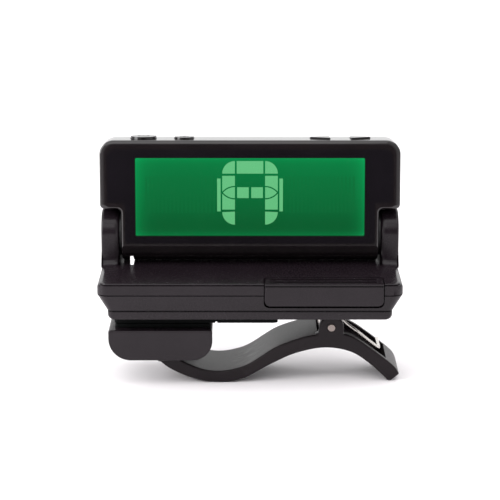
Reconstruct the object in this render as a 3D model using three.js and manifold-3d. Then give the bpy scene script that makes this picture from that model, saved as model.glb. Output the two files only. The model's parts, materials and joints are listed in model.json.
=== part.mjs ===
// Clip-on instrument tuner: a flat base, a sprung clip below it, and a display head hinged at the back.
// Millimetres. X runs to the right, Y to the back, Z up. The part stands on Z = 0, on the clip lever's
// belly and thumb end, and the origin is in the middle of its footprint.
import * as THREE from 'three';
import { mergeVertices } from 'three/addons/utils/BufferGeometryUtils.js';
import Module from 'manifold-3d';

const wasm = await Module();
wasm.setup();

// ---------------------------------------------------------------- driving dimensions
const GAP = 0.05; // between two pieces that touch on the real object
const WALL = 1.2; // moulded case wall

// Base: three layers, from the bottom plate up to the deck.
const BASE = { half: 31.45, front: -12.4, rear: 12.7, corner: 2.2 };
const Z_PLATE = 14.7;
const Z_SHELL = 16.65;
const Z_SEAM = 20.2;
const Z_DECK = 22.8;
const DECK_THICK = 0.9;
const FLOOR_TOP = 17.9;
const TAPER = { side: 2.1, end: 1.3 }; // how far the lower shell draws in at its bottom

// Head: its own frame has the hinge axis as its origin, Y towards its back and Z towards its top.
const HINGE = { y: 7.8, z: 28.8, tilt: THREE.MathUtils.degToRad(5.5), pin: 1.2, bore: 1.3 };
const HEAD = { half: 31.6, front: -5.4, back: 3.1, top: 20.1, chin: 5.85, split: -3.6 };
const NOTCH = { half: 27.1, top: 5.6 }; // cut-outs in the head's lower corners, round the base's ears
const EAR = { inner: 27.6, radius: 4.85, rise: 5.2, foot: 0.8 };
const WASHER = { radius: 4.9, bore: 1.35, inner: 27.15, outer: 27.55 }; // between ear and head
const SLOT = { left: -25.6, right: -24.85 }; // see-through slot beside the left ear
const WINDOW = {
  half: 30.0, notchHalf: 26.3, notchTop: 6.9, bottom: -1.7, top: 18.2, front: -5.25, back: -4.3,
};
const DISPLAY = { half: 24.1, bottom: -0.1, top: 16.4 };
const HEAD_SCREWS = [[-28.6, 16.6], [28.6, 16.6], [-28.6, 8.7], [28.6, 8.7]];
const BUTTON_Y = -0.75;

// Battery drawer: a coin cell in a tray behind a door in the base's front right.
const DOOR = { left: 3.0, right: 27.4, bottom: 18.1, proud: 0.3, ledge: 4.9 };
const CELL = { x: 15.2, y: -0.3, radius: 10.0, height: 3.2 };
const BASE_SCREWS = [[-21.5, -9.0], [-21.5, 9.0], [1.6, -9.0], [1.6, 9.0]];
const BASE_BOARD = { left: -23.4, right: -0.4, half: 7.6, bottom: 19.3, thick: 0.8 };

// Clip: the lever turns on a pin under the base, and a shoe with the lower pad rocks on the lever's tip.
const PIVOT = { x: 17.0, z: 11.75, pin: 0.8 };
const LEVER = { half: 7.4, thumbHalf: 6.2, earInner: 5.3, pocketHalf: 5.0, pocketRadius: 3.3 };
const LUG = { inner: 3.8, outer: 5.2, radius: 2.3 };
const SHOE = { left: -29.4, right: -7.8, top: 12.1, bottom: 5.6, half: 10.0, wall: 1.4, floor: 1.3 };
const SHOE_PIN = { x: -18.5, z: 7.9, radius: 0.8, knuckle: 1.9 };
const PAD = { left: -28.2, half: 7.7, top: Z_PLATE - GAP, bottom: 13.1, right: 5.8, groove: -7.2 };
const SPRING = { coil: 2.3, wire: 0.4, halfLength: 3.0, turns: 5 };

// ---------------------------------------------------------------- materials
const finish = (color, roughness, metalness = 0) =>
  new THREE.MeshStandardMaterial({ color, roughness, metalness });
const MATERIALS = {
  case: finish(0x3d393d, 0.45),
  gloss: finish(0x121114, 0.08),
  button: finish(0x39353a, 0.4),
  rubber: finish(0x23282a, 0.85),
  steel: finish(0xb4afaa, 0.3, 1),
  brass: finish(0xb08d4a, 0.35, 1),
  board: finish(0x1d5a34, 0.5),
  chip: finish(0x17171a, 0.5),
  display: finish(0x0b6a38, 0.25),
  light: finish(0xdfe6e0, 0.4),
  cable: finish(0x202024, 0.6),
};

// ---------------------------------------------------------------- outlines
const arc = (x, y, radius, from, to, steps) =>
  Array.from({ length: steps + 1 }, (_, i) => {
    const angle = THREE.MathUtils.degToRad(from + ((to - from) * i) / steps);
    return new THREE.Vector2(x + radius * Math.cos(angle), y + radius * Math.sin(angle));
  });

const circle = (x, y, radius, sides = 24) => arc(x, y, radius, 0, 360 - 360 / sides, sides - 1);
const polygon = (points) => points.map(([x, y]) => new THREE.Vector2(x, y));

// A closed outline through corners given as [x, y, radius], each corner turned on an arc of its radius.
function rounded(corners, steps = 4) {
  const at = (i) => new THREE.Vector2(...corners[(i + corners.length) % corners.length].slice(0, 2));
  return corners.flatMap(([, , radius = 0], i) => {
    const here = at(i);
    if (radius === 0) return [here];
    const back = at(i - 1).sub(here).normalize();
    const on = at(i + 1).sub(here).normalize();
    const half = Math.acos(back.dot(on)) / 2;
    const centre = back.clone().add(on).setLength(radius / Math.sin(half)).add(here);
    const start = back.clone().multiplyScalar(radius / Math.tan(half)).add(here);
    const turn = (Math.PI - 2 * half) * -Math.sign(back.cross(on));
    const turned = (k) => start.clone().rotateAround(centre, (turn * k) / steps);
    return Array.from({ length: steps + 1 }, (_, k) => turned(k));
  });
}

const rectangle = (x0, y0, x1, y1, radius = 0, steps = 4) =>
  rounded([[x0, y0, radius], [x1, y0, radius], [x1, y1, radius], [x0, y1, radius]], steps);

// ---------------------------------------------------------------- solids
function toSolid(geometry) {
  const bare = new THREE.BufferGeometry();
  bare.setAttribute('position', geometry.getAttribute('position'));
  bare.setIndex(geometry.getIndex());
  const merged = mergeVertices(bare, 1e-4);
  const index = merged.getIndex().array;
  const faces = [];
  for (let i = 0; i < index.length; i += 3) {
    const [a, b, c] = index.slice(i, i + 3);
    if (a !== b && b !== c && c !== a) faces.push(a, b, c);
  }
  const vertProperties = merged.getAttribute('position').array;
  const triVerts = Uint32Array.from(faces);
  return new wasm.Manifold(new wasm.Mesh({ numProp: 3, vertProperties, triVerts }));
}

const unit = (x, y, z) => new THREE.Vector3(x, y, z);
const ALONG = {
  x: new THREE.Matrix4().makeBasis(unit(0, 1, 0), unit(0, 0, 1), unit(1, 0, 0)),
  y: new THREE.Matrix4().makeBasis(unit(1, 0, 0), unit(0, 0, 1), unit(0, -1, 0)),
  z: new THREE.Matrix4(),
};

// Extrudes an outline along an axis, from one place on it to another. The outline is drawn in the other
// two axes, in X, Y, Z order. An edge of [reach, depth] rounds both ends.
function extrude(axis, outline, from, to, { holes = [], edge = null } = {}) {
  const shape = new THREE.Shape(outline);
  shape.holes = holes.map((hole) => new THREE.Path(hole));
  const [reach, depth] = edge ?? [0, 0];
  const geometry = new THREE.ExtrudeGeometry(shape, {
    depth: to - from - 2 * depth,
    bevelEnabled: edge !== null,
    bevelThickness: depth,
    bevelSize: reach,
    bevelOffset: -reach,
    bevelSegments: 2,
  });
  const start = axis === 'y' ? to - depth : from + depth;
  geometry.applyMatrix4(ALONG[axis]);
  geometry.translate(...['x', 'y', 'z'].map((name) => (name === axis ? start : 0)));
  return toSolid(geometry);
}

const box = (x, y, z) => extrude('z', rectangle(x[0], y[0], x[1], y[1]), z[0], z[1]);
const rod = (axis, u, v, radius, from, to, sides = 24) =>
  extrude(axis, circle(u, v, radius, sides), from, to);
const joined = (solids) => solids.reduce((all, next) => all.add(next));
const cut = (solid, ...tools) => tools.reduce((left, tool) => left.subtract(tool), solid);

// A body turned about a vertical axis through (x, y), from its [radius, height] profile.
function turned(profile, x, y, z, sides = 36) {
  const points = profile.map(([radius, height]) => new THREE.Vector2(radius, height));
  const geometry = new THREE.LatheGeometry(points, sides);
  geometry.rotateX(Math.PI / 2);
  geometry.translate(x, y, z);
  return toSolid(geometry);
}

// Joins rings of equally many points, lowest first, with a flat cap on the lowest and on the highest.
function loft(rings) {
  const count = rings[0].outline.length;
  const positions = rings.flatMap(({ outline, z }) => outline.flatMap((point) => [point.x, point.y, z]));
  const caps = THREE.ShapeUtils.triangulateShape(rings[0].outline, []);
  const top = (rings.length - 1) * count;
  const index = caps.flatMap(([a, b, c]) => [c, b, a, top + a, top + b, top + c]);
  for (let ring = 0; ring < rings.length - 1; ring += 1) {
    for (let i = 0; i < count; i += 1) {
      const a = ring * count + i;
      const b = ring * count + ((i + 1) % count);
      index.push(a, b, b + count, a, b + count, a + count);
    }
  }
  const geometry = new THREE.BufferGeometry();
  geometry.setAttribute('position', new THREE.Float32BufferAttribute(positions, 3));
  geometry.setIndex(index);
  return toSolid(geometry);
}

// A round wire along a smooth curve through the points.
function wire(points, radius, steps, sides = 6) {
  const extrudePath = new THREE.CatmullRomCurve3(points.map((point) => new THREE.Vector3(...point)));
  const section = new THREE.Shape(circle(0, 0, radius, sides));
  return toSolid(new THREE.ExtrudeGeometry(section, { steps, bevelEnabled: false, extrudePath }));
}

function piece(parent, name, solid, material) {
  const { vertProperties, triVerts } = solid.getMesh();
  const geometry = new THREE.BufferGeometry();
  geometry.setAttribute('position', new THREE.Float32BufferAttribute(vertProperties, 3));
  geometry.setIndex(new THREE.Uint32BufferAttribute(triVerts, 1));
  geometry.computeVertexNormals();
  const mesh = new THREE.Mesh(geometry, material);
  mesh.name = name;
  parent.add(mesh);
}

// ---------------------------------------------------------------- base shells
function basePlan(side, end) {
  const corner = Math.max(BASE.corner - Math.max(side, end) / 2, 0.6);
  return rectangle(-BASE.half + side, BASE.front + end, BASE.half - side, BASE.rear - end, corner);
}

// Half-width and end draw-in of the lower shell's outside at a height.
function taperAt(z, inset = 0) {
  const share = (Z_SEAM - z) / (Z_SEAM - Z_SHELL);
  return basePlan(TAPER.side * share + inset, TAPER.end * share + inset);
}

function doorOutline(margin, below) {
  const [left, right] = [DOOR.left - margin, DOOR.right + margin];
  const low = DOOR.bottom - below;
  return rounded([[left, low, 0.9], [right, low, 0.9], [right, 30], [left, 30]]);
}

function ears() {
  const [front, back] = [HINGE.y - EAR.radius, HINGE.y + EAR.radius];
  const [top, foot] = [HINGE.z + EAR.rise, Z_DECK - 0.4];
  const profile = rounded([
    [front - EAR.foot, foot], [back, foot], [back, top, EAR.radius], [front, top, EAR.radius],
    [front, Z_DECK, EAR.foot], [front - EAR.foot, Z_DECK],
  ], 6);
  const post = (from, to) => extrude('x', profile, from, to);
  return post(-BASE.half, -EAR.inner).add(post(EAR.inner, BASE.half));
}

// A rib behind the head's chin, hollowed to the chin's curve.
function cradle() {
  const bottom = Z_DECK - 0.4;
  const reach = HEAD.chin + 0.15;
  const [front, back] = [0.5, 3.9].map((y) => THREE.MathUtils.radToDeg(Math.asin(y / reach)) - 90);
  const hollow = arc(HINGE.y, HINGE.z, reach, front, back, 8);
  const rear = HINGE.y + 4.4;
  const end = hollow[hollow.length - 1].y;
  const profile = [...hollow, ...polygon([[rear, end], [rear, bottom], [HINGE.y + 0.5, bottom]])];
  return extrude('x', profile.reverse(), -24.2, 24.2);
}

// The slot's floor falls towards the back, so that it can be seen through from above the deck.
function slotSolids() {
  const [front, back] = [3.0, BASE.rear + 0.3];
  const [high, low] = [Z_DECK - 0.02, Z_SEAM - 0.55];
  const opening = [[front, Z_DECK + 1], [front, high], [back, low], [back, Z_DECK + 1]];
  const inner = BASE.rear - WALL - 0.6;
  const roof = Z_DECK - 0.5;
  const trough = [[front - 0.6, roof], [front - 0.6, high - 1.2], [inner, low - 0.6], [inner, roof]];
  return {
    opening: extrude('x', polygon(opening).reverse(), SLOT.left, SLOT.right),
    trough: extrude('x', polygon(trough).reverse(), SLOT.left - 0.5, SLOT.right + 0.5),
  };
}

function baseUpperShell() {
  const block = extrude('z', basePlan(0, 0), Z_SEAM - 2, Z_DECK, { edge: [0.4, 0.4] });
  const skin = cut(block, box([-40, 40], [-20, 20], [Z_SEAM - 3, Z_SEAM]));
  const hollow = extrude('z', basePlan(WALL, WALL), Z_SEAM - 1, Z_DECK - DECK_THICK);
  const slot = slotSolids();
  const bosses = BASE_SCREWS.map(([x, y]) => rod('z', x, y, 1.2, FLOOR_TOP + GAP, Z_DECK - 0.5, 16));
  const pilots = BASE_SCREWS.map(([x, y]) => rod('z', x, y, 0.55, Z_SHELL, Z_DECK - 1.6, 12));
  const ledgeRear = BASE.front + DOOR.ledge + GAP;
  const ledge = rectangle(DOOR.left - GAP, BASE.front - 2, DOOR.right + GAP, ledgeRear, 0.8);
  const cableBore = rod('x', HINGE.y, HINGE.z, HINGE.pin + GAP, -BASE.half + 1, -EAR.inner + 1);
  const cableDuct = rod('z', -29.5, HINGE.y, 0.8, Z_DECK - 2, HINGE.z, 12);
  const pinBore = rod('x', HINGE.y, HINGE.z, HINGE.pin + GAP, EAR.inner - 1, BASE.half + 1);
  const pinHead = rod('x', HINGE.y, HINGE.z, 2.0, BASE.half - 0.6, BASE.half + 1);
  const shell = joined([cut(skin, hollow), ears(), cradle(), slot.trough, ...bosses]);
  return cut(
    shell,
    slot.opening,
    ...pilots,
    extrude('y', doorOutline(0.12, 0.3), BASE.front - 1, BASE.front + WALL + GAP),
    extrude('z', ledge, Z_DECK - DECK_THICK - GAP, Z_DECK + 1),
    cableBore,
    cableDuct,
    pinBore,
    pinHead,
  );
}

function baseLowerShell() {
  const outside = loft([
    { outline: taperAt(Z_SHELL), z: Z_SHELL },
    { outline: taperAt(Z_SEAM), z: Z_SEAM - GAP },
  ]);
  const hollow = loft([
    { outline: taperAt(FLOOR_TOP, WALL), z: FLOOR_TOP },
    { outline: taperAt(Z_SEAM, WALL), z: Z_SEAM + 0.2 },
  ]);
  const standoffs = [-20, -3].flatMap((x) =>
    [-6, 6].map((y) => rod('z', x, y, 1.0, FLOOR_TOP - 0.2, BASE_BOARD.bottom - GAP, 12)));
  return cut(
    joined([cut(outside, hollow), ...standoffs]),
    ...BASE_SCREWS.map(([x, y]) => rod('z', x, y, 0.65, Z_SHELL - 1, FLOOR_TOP + 0.5, 12)),
    extrude('y', doorOutline(0.12, 0.3), BASE.front - 1, BASE.front + WALL + 1.4),
    box([SLOT.left, SLOT.right], [BASE.rear - 2.5, BASE.rear + 1], [Z_SEAM - 0.6, Z_SEAM + 1]),
  );
}

// The plate under the lower shell, with the two lugs that carry the clip's pivot pin.
function bottomPlate() {
  const rings = [[1.1, 0], [0.45, 0.25], [0.1, 0.7], [0, 1.1], [0, Z_SHELL - GAP - Z_PLATE]];
  const slab = loft(rings.map(([inset, rise]) => ({
    outline: basePlan(TAPER.side + inset, TAPER.end + 0.4 * inset), z: Z_PLATE + rise,
  })));
  const lugOutline = rounded([
    [PIVOT.x - LUG.radius, PIVOT.z - LUG.radius, LUG.radius - 0.01],
    [PIVOT.x + LUG.radius, PIVOT.z - LUG.radius, LUG.radius - 0.01],
    [PIVOT.x + LUG.radius, Z_PLATE + 0.5],
    [PIVOT.x - LUG.radius, Z_PLATE + 0.5],
  ], 6);
  const lugs = [-LUG.outer, LUG.inner].map((from) =>
    extrude('y', lugOutline, from, from + LUG.outer - LUG.inner));
  return cut(
    joined([slab, ...lugs]),
    rod('y', PIVOT.x, PIVOT.z, PIVOT.pin + GAP, -LUG.outer - 1, LUG.outer + 1),
    ...BASE_SCREWS.map(([x, y]) => rod('z', x, y, 0.65, Z_PLATE - 1, Z_SHELL + 1, 12)),
    ...BASE_SCREWS.map(([x, y]) => rod('z', x, y, 1.2, Z_PLATE - 1, Z_PLATE + 0.7, 16)),
  );
}

function upperJawPad() {
  const slab = extrude('z', rectangle(PAD.left, -PAD.half, PAD.right, PAD.half, 0.8), PAD.bottom, PAD.top);
  return cut(slab, box([PAD.groove, PAD.groove + 0.4], [-10, 10], [PAD.bottom - 1, PAD.bottom + 0.3]));
}

// ---------------------------------------------------------------- base insides
function batteryTray() {
  const face = BASE.front - DOOR.proud;
  const roof = Z_DECK - DECK_THICK + GAP;
  const door = cut(
    extrude('y', doorOutline(0, 0), face, BASE.front + WALL - 0.1),
    box([0, 40], [-20, 0], [Z_DECK, 40]),
  );
  const ledgePlan = rectangle(DOOR.left, face, DOOR.right, BASE.front + DOOR.ledge, 0.8);
  const ledge = extrude('z', ledgePlan, roof, Z_DECK);
  const grips = [1.2, 3.2].map((depth) => {
    const front = BASE.front + depth;
    return box([DOOR.left + 1, DOOR.right - 1], [front, front + 0.8], [Z_DECK - 0.3, 25]);
  });
  const trayDepth = [BASE.front + 1, CELL.y + 9.4];
  const tray = box([DOOR.left + 0.9, DOOR.right - 0.9], trayDepth, [DOOR.bottom, 21.5]);
  const seat = rod('z', CELL.x, CELL.y, CELL.radius + 0.15, FLOOR_TOP + 0.55, roof, 48);
  const contactSlot = box([CELL.x - 3, CELL.x + 3], [-4, 12], [FLOOR_TOP - 1, 20]);
  return cut(joined([door, ledge, tray]), seat, contactSlot, ...grips);
}

function coinCell() {
  const { radius, height } = CELL;
  const can = [[radius - 0.3, 0.35], [radius, 0.65], [radius, height], [0, height]];
  return turned([[0, 0], [8.6, 0], [8.6, 0.35], ...can], CELL.x, CELL.y, FLOOR_TOP + 0.6, 48);
}

function negativeContact() {
  const floor = FLOOR_TOP + GAP;
  const leaf = [
    [10.2, floor], [10.2, floor + 0.2], [3.2, floor + 0.2], [-0.6, floor + 0.5], [-1.8, floor + 0.35],
    [-1.8, floor + 0.17], [-0.6, floor + 0.32], [3.0, floor],
  ];
  return extrude('x', polygon(leaf), CELL.x - 2, CELL.x + 2);
}

function positiveContact() {
  const floor = FLOOR_TOP + GAP;
  const leaf = [
    [9.8, floor + 0.3], [10.4, floor], [10.4, floor + 0.2], [10.0, floor + 0.4], [10.0, 21.2], [9.8, 21.2],
  ];
  return extrude('x', polygon(leaf), CELL.x + 3, CELL.x + 7);
}

function piezoDisc() {
  return turned([[0, 0], [7.5, 0], [7.5, 0.2], [5, 0.2], [5, 0.45], [0, 0.45]], -12, 0, FLOOR_TOP + GAP);
}

// A pan-head screw along an axis, with a cross recess. Its head ends at `head` and its point at `tip`.
function screw(axis, u, v, head, tip) {
  const way = Math.sign(tip - head);
  const span = (from, to) => [Math.min(from, to), Math.max(from, to)];
  const shank = rod(axis, u, v, 0.5, ...span(head, tip), 12);
  const pan = rod(axis, u, v, 1.0, ...span(head, head + 0.6 * way), 16);
  const [from, to] = span(head - 0.1 * way, head + 0.3 * way);
  const cross = [[0.65, 0.15], [0.15, 0.65]].map(([a, b]) =>
    extrude(axis, rectangle(u - a, v - b, u + a, v + b), from, to));
  return cut(shank.add(pan), ...cross);
}

function buildBase(parent) {
  piece(parent, 'base_upper_shell', baseUpperShell(), MATERIALS.case);
  piece(parent, 'base_lower_shell', baseLowerShell(), MATERIALS.case);
  piece(parent, 'bottom_plate', bottomPlate(), MATERIALS.case);
  piece(parent, 'upper_jaw_pad', upperJawPad(), MATERIALS.rubber);
  piece(parent, 'battery_tray', batteryTray(), MATERIALS.case);
  piece(parent, 'coin_cell', coinCell(), MATERIALS.steel);
  piece(parent, 'negative_battery_contact', negativeContact(), MATERIALS.steel);
  piece(parent, 'positive_battery_contact', positiveContact(), MATERIALS.steel);
  piece(parent, 'piezo_pickup_disc', piezoDisc(), MATERIALS.brass);
  const { left, right, half, bottom, thick } = BASE_BOARD;
  const board = box([left, right], [-half, half], [bottom, bottom + thick]);
  const chip = box([-12, -7], [1, 5], [bottom + thick + GAP, bottom + thick + 1.05]);
  piece(parent, 'base_circuit_board', board, MATERIALS.board);
  piece(parent, 'pickup_amplifier_chip', chip, MATERIALS.chip);
  BASE_SCREWS.forEach(([x, y], i) => {
    piece(parent, `base_screw_${i + 1}`, screw('z', x, y, Z_PLATE + 0.1, 20.6), MATERIALS.steel);
  });
}

// ---------------------------------------------------------------- hinge
function buildHinge(parent) {
  const { y, z, pin } = HINGE;
  const ring = (outer, inner, from, to) =>
    extrude('x', circle(y, z, outer), from, to, { holes: [circle(y, z, inner)] });
  const shank = rod('x', y, z, pin, 24.9, BASE.half - 0.1);
  const cap = rod('x', y, z, 1.9, BASE.half - 0.55, BASE.half - 0.05);
  piece(parent, 'right_hinge_pin', shank.add(cap), MATERIALS.steel);
  piece(parent, 'left_hinge_bush', ring(pin, 0.8, -28.7, -24.9), MATERIALS.steel);
  const washer = (from, to) => ring(WASHER.radius, WASHER.bore, from, to);
  piece(parent, 'left_friction_washer', washer(-WASHER.outer, -WASHER.inner), MATERIALS.chip);
  piece(parent, 'right_friction_washer', washer(WASHER.inner, WASHER.outer), MATERIALS.chip);
  const route = [
    [-27.4, y, z], [-28.6, y, z], [-29.35, y, z - 0.45], [-29.5, y, z - 1.4], [-29.5, y, 24.5],
    [-29.4, y - 0.2, 21.8], [-28.6, y - 2.2, 21.2], [-28.0, 2.0, 21.1], [-26.6, -1.4, 21.0],
    [-22.8, -2.2, 20.75],
  ];
  piece(parent, 'signal_cable_base_run', wire(route, 0.45, 44), MATERIALS.cable);
}

// ---------------------------------------------------------------- head
// The front outline of the head: a rectangle with a notch in each lower corner.
function headOutline({ half, top, notchHalf, notchTop, bottom, corner, shoulder, inner, foot }) {
  return rounded([
    [-notchHalf, bottom, foot], [notchHalf, bottom, foot],
    [notchHalf, notchTop, inner], [half, notchTop, shoulder],
    [half, top, corner], [-half, top, corner],
    [-half, notchTop, shoulder], [-notchHalf, notchTop, inner],
  ]);
}

function headBlock() {
  const outline = headOutline({
    half: HEAD.half, top: HEAD.top, notchHalf: NOTCH.half, notchTop: NOTCH.top, bottom: -HEAD.chin,
    corner: 3.0, shoulder: 0.9, inner: 0.5, foot: 0.8,
  });
  const front = extrude('y', outline, HEAD.front, HEAD.back, { edge: [0.7, 1.1] });
  const start = THREE.MathUtils.radToDeg(Math.asin(HEAD.front / HEAD.chin));
  const end = THREE.MathUtils.radToDeg(Math.asin(HEAD.back / HEAD.chin));
  const chin = arc(0, 0, HEAD.chin, start - 90, end - 90, 10);
  const top = [new THREE.Vector2(HEAD.back, HEAD.top), new THREE.Vector2(HEAD.front, HEAD.top)];
  const side = extrude('x', [...chin, ...top], -40, 40);
  const slot = box([SLOT.left, SLOT.right], [-10, 10], [-7, -4.7]);
  return cut(front.intersect(side), slot);
}

function windowOutline(margin) {
  return headOutline({
    half: WINDOW.half + margin, top: WINDOW.top + margin, notchHalf: WINDOW.notchHalf + margin,
    notchTop: WINDOW.notchTop - margin, bottom: WINDOW.bottom - margin,
    corner: 1.7, shoulder: 0.5, inner: 0.5, foot: 0.6,
  });
}

function headFrontCase() {
  const face = cut(headBlock(), box([-40, 40], [HEAD.split, 10], [-10, 30]));
  const bosses = HEAD_SCREWS.map(([x, z]) => rod('y', x, z, 1.2, HEAD.split - 0.4, 1.9, 16));
  const pilots = HEAD_SCREWS.map(([x, z]) => rod('y', x, z, 0.55, -2.6, 3, 12));
  const sight = rectangle(-DISPLAY.half, DISPLAY.bottom, DISPLAY.half, DISPLAY.top, 0.3, 2);
  return cut(
    joined([face, ...bosses]),
    extrude('y', windowOutline(GAP), HEAD.front - 1, WINDOW.back + GAP),
    extrude('y', sight, HEAD.front - 1, HEAD.split + 1),
    ...pilots,
  );
}

const BUTTONS = {
  power_button: { x: -22.5, radius: 2.75, proud: 0.7 },
  mode_button: { x: -13.9, radius: 2.1, proud: 0.45 },
  left_arrow_button: { x: 15.2, way: -1, proud: 0.35 },
  right_arrow_button: { x: 22.9, way: 1, proud: 0.35 },
};

// A round button, or a triangle that points along `way`, grown by a margin for the hole round it.
function buttonOutline({ x, radius, way }, margin = 0) {
  if (radius) return circle(x, BUTTON_Y, radius + margin, 32);
  const [tip, back, half] = [2.9 + 2 * margin, 1.7 + margin, 2.3 + 1.7 * margin];
  const corners = [
    [x + tip * way, BUTTON_Y, 0.3],
    [x - back * way, BUTTON_Y + half, 0.3],
    [x - back * way, BUTTON_Y - half, 0.3],
  ];
  return rounded(way > 0 ? corners : corners.reverse(), 3);
}

function button(shape) {
  const wall = HEAD.top - WALL;
  const half = (shape.radius ?? 2.3) + 0.4;
  const cap = extrude('z', buttonOutline(shape), wall + 0.45, HEAD.top + shape.proud);
  const neck = rod('z', shape.x, BUTTON_Y, shape.radius ? 1.5 : 0.9, wall - 0.1, wall + 0.6, 16);
  const front = Math.max(BUTTON_Y - half, HEAD.split + 0.1);
  const flange = box([shape.x - half, shape.x + half], [front, 1.85], [wall - 0.5, wall - GAP]);
  const stem = box([shape.x - 0.7, shape.x + 0.7], [-0.3, 0.8], [17.8, wall - 0.3]);
  return joined([cap, neck, flange, stem]);
}

// The part of the head's inside that is as wide as its shoulders, and the part between its hinge knuckles.
function headHollow() {
  const [back, top] = [HEAD.back - 1.1, HEAD.top - WALL];
  const inside = HEAD.half - WALL;
  const shoulders = box([-inside, inside], [HEAD.split - 1, back], [NOTCH.top + WALL, top]);
  const panel = box([-25.6, 25.6], [HEAD.split - 1, -1.9], [-1.6, top]);
  const middle = box([-24.2, 24.2], [-2.5, back], [-4.2, top]);
  return joined([shoulders, panel, middle]);
}

function headRearCase() {
  const shell = cut(headBlock(), box([-40, 40], [-10, HEAD.split + GAP], [-10, 30]), headHollow());
  const axle = [[-30, -24], [24, 30]].map(([from, to]) => rod('x', 0, 0, HINGE.bore, from, to));
  const buttonHoles = Object.values(BUTTONS).map((shape) =>
    extrude('z', buttonOutline(shape, 0.1), HEAD.top - WALL - 0.5, HEAD.top + 1));
  const shanks = HEAD_SCREWS.map(([x, z]) => rod('y', x, z, 0.65, 0, 4, 12));
  const heads = HEAD_SCREWS.map(([x, z]) => rod('y', x, z, 1.2, HEAD.back - 0.7, 4, 16));
  return cut(shell, ...axle, ...buttonHoles, ...shanks, ...heads);
}

function tactSwitch({ x }) {
  const body = box([x - 1.8, x + 1.8], [-0.4, 0.85], [15.5, 17.0]);
  return body.add(box([x - 0.6, x + 0.6], [-0.1, 0.6], [16.8, 17.3]));
}

function buildHead(parent) {
  const head = new THREE.Group();
  head.position.set(0, HINGE.y, HINGE.z);
  head.rotation.x = -HINGE.tilt;
  parent.add(head);

  piece(head, 'head_front_case', headFrontCase(), MATERIALS.case);
  piece(head, 'head_rear_case', headRearCase(), MATERIALS.case);
  piece(head, 'display_window', extrude('y', windowOutline(0), WINDOW.front, WINDOW.back), MATERIALS.gloss);
  piece(head, 'lcd_panel', box([-25.2, 25.2], [-3.5, -2.0], [-1.0, 17.3]), MATERIALS.display);
  piece(head, 'backlight_panel', box([-24.0, 24.0], [-1.95, -0.5], [0.6, 17.2]), MATERIALS.light);
  piece(head, 'contact_strip', box([-22, 22], [-1.95, 0.85], [-0.9, 0.4]), MATERIALS.rubber);
  piece(head, 'head_circuit_board', box([-24.0, 24.0], [0.9, 1.7], [-1.2, 17.6]), MATERIALS.board);
  piece(head, 'tuner_processor_chip', box([-4, 4], [-0.2, 0.85], [5, 12]), MATERIALS.chip);
  for (const [name, shape] of Object.entries(BUTTONS)) {
    piece(head, name, button(shape), MATERIALS.button);
    piece(head, name.replace('button', 'switch'), tactSwitch(shape), MATERIALS.chip);
  }
  HEAD_SCREWS.forEach(([x, z], i) => {
    piece(head, `head_screw_${i + 1}`, screw('y', x, z, HEAD.back - 0.1, -2.2), MATERIALS.steel);
  });
  const route = [
    [-27.05, 0, 0], [-25.5, 0, 0], [-23.8, 0, 0], [-23.0, 0, -0.6], [-22.4, 0.1, -2.0], [-21.4, 0.4, -2.6],
    [-20.4, 1.0, -2.2], [-19.6, 1.25, -1.75],
  ];
  piece(head, 'signal_cable_head_run', wire(route, 0.45, 20), MATERIALS.cable);
}

// ---------------------------------------------------------------- clip
// The lever's side profile: a belly under the jaw, a crest at the pivot and a thumb tab that falls away.
function leverProfile() {
  const under = new THREE.SplineCurve(polygon([
    [-19.6, 5.4], [-16.7, 3.0], [-11.5, 0.75], [-6.3, 0], [-1.5, 0.8], [4.2, 3.9], [9.5, 6.3], [15.6, 7.4],
    [21.0, 6.4], [25.1, 3.7], [28.9, 0.1],
  ]));
  const over = new THREE.SplineCurve(polygon([
    [31.3, 1.4], [30.3, 3.1], [26.8, 6.0], [22.0, 9.4], [18.5, 10.5], [13.5, 10.25], [9.8, 9.4], [5.2, 7.6],
    [0, 4.2], [-3.1, 3.0], [-6.3, 2.5], [-9.4, 2.8], [-12.5, 3.9], [-15.6, 5.6],
  ]));
  return [...under.getPoints(30), ...polygon([[29.4, 0], [30.3, 0.35]]), ...over.getPoints(34)];
}

// The lever seen from above: full width along the jaw, narrower over the thumb tab, with round corners.
function leverPlan() {
  const side = [
    [-21, LEVER.half, 1], [7, LEVER.half, 0], [24, LEVER.thumbHalf, 0], [31.3, LEVER.thumbHalf, 1.2],
  ];
  const front = side.map(([x, y, radius]) => [x, -y, radius]);
  return rounded([...front, ...side.reverse()]);
}

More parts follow.
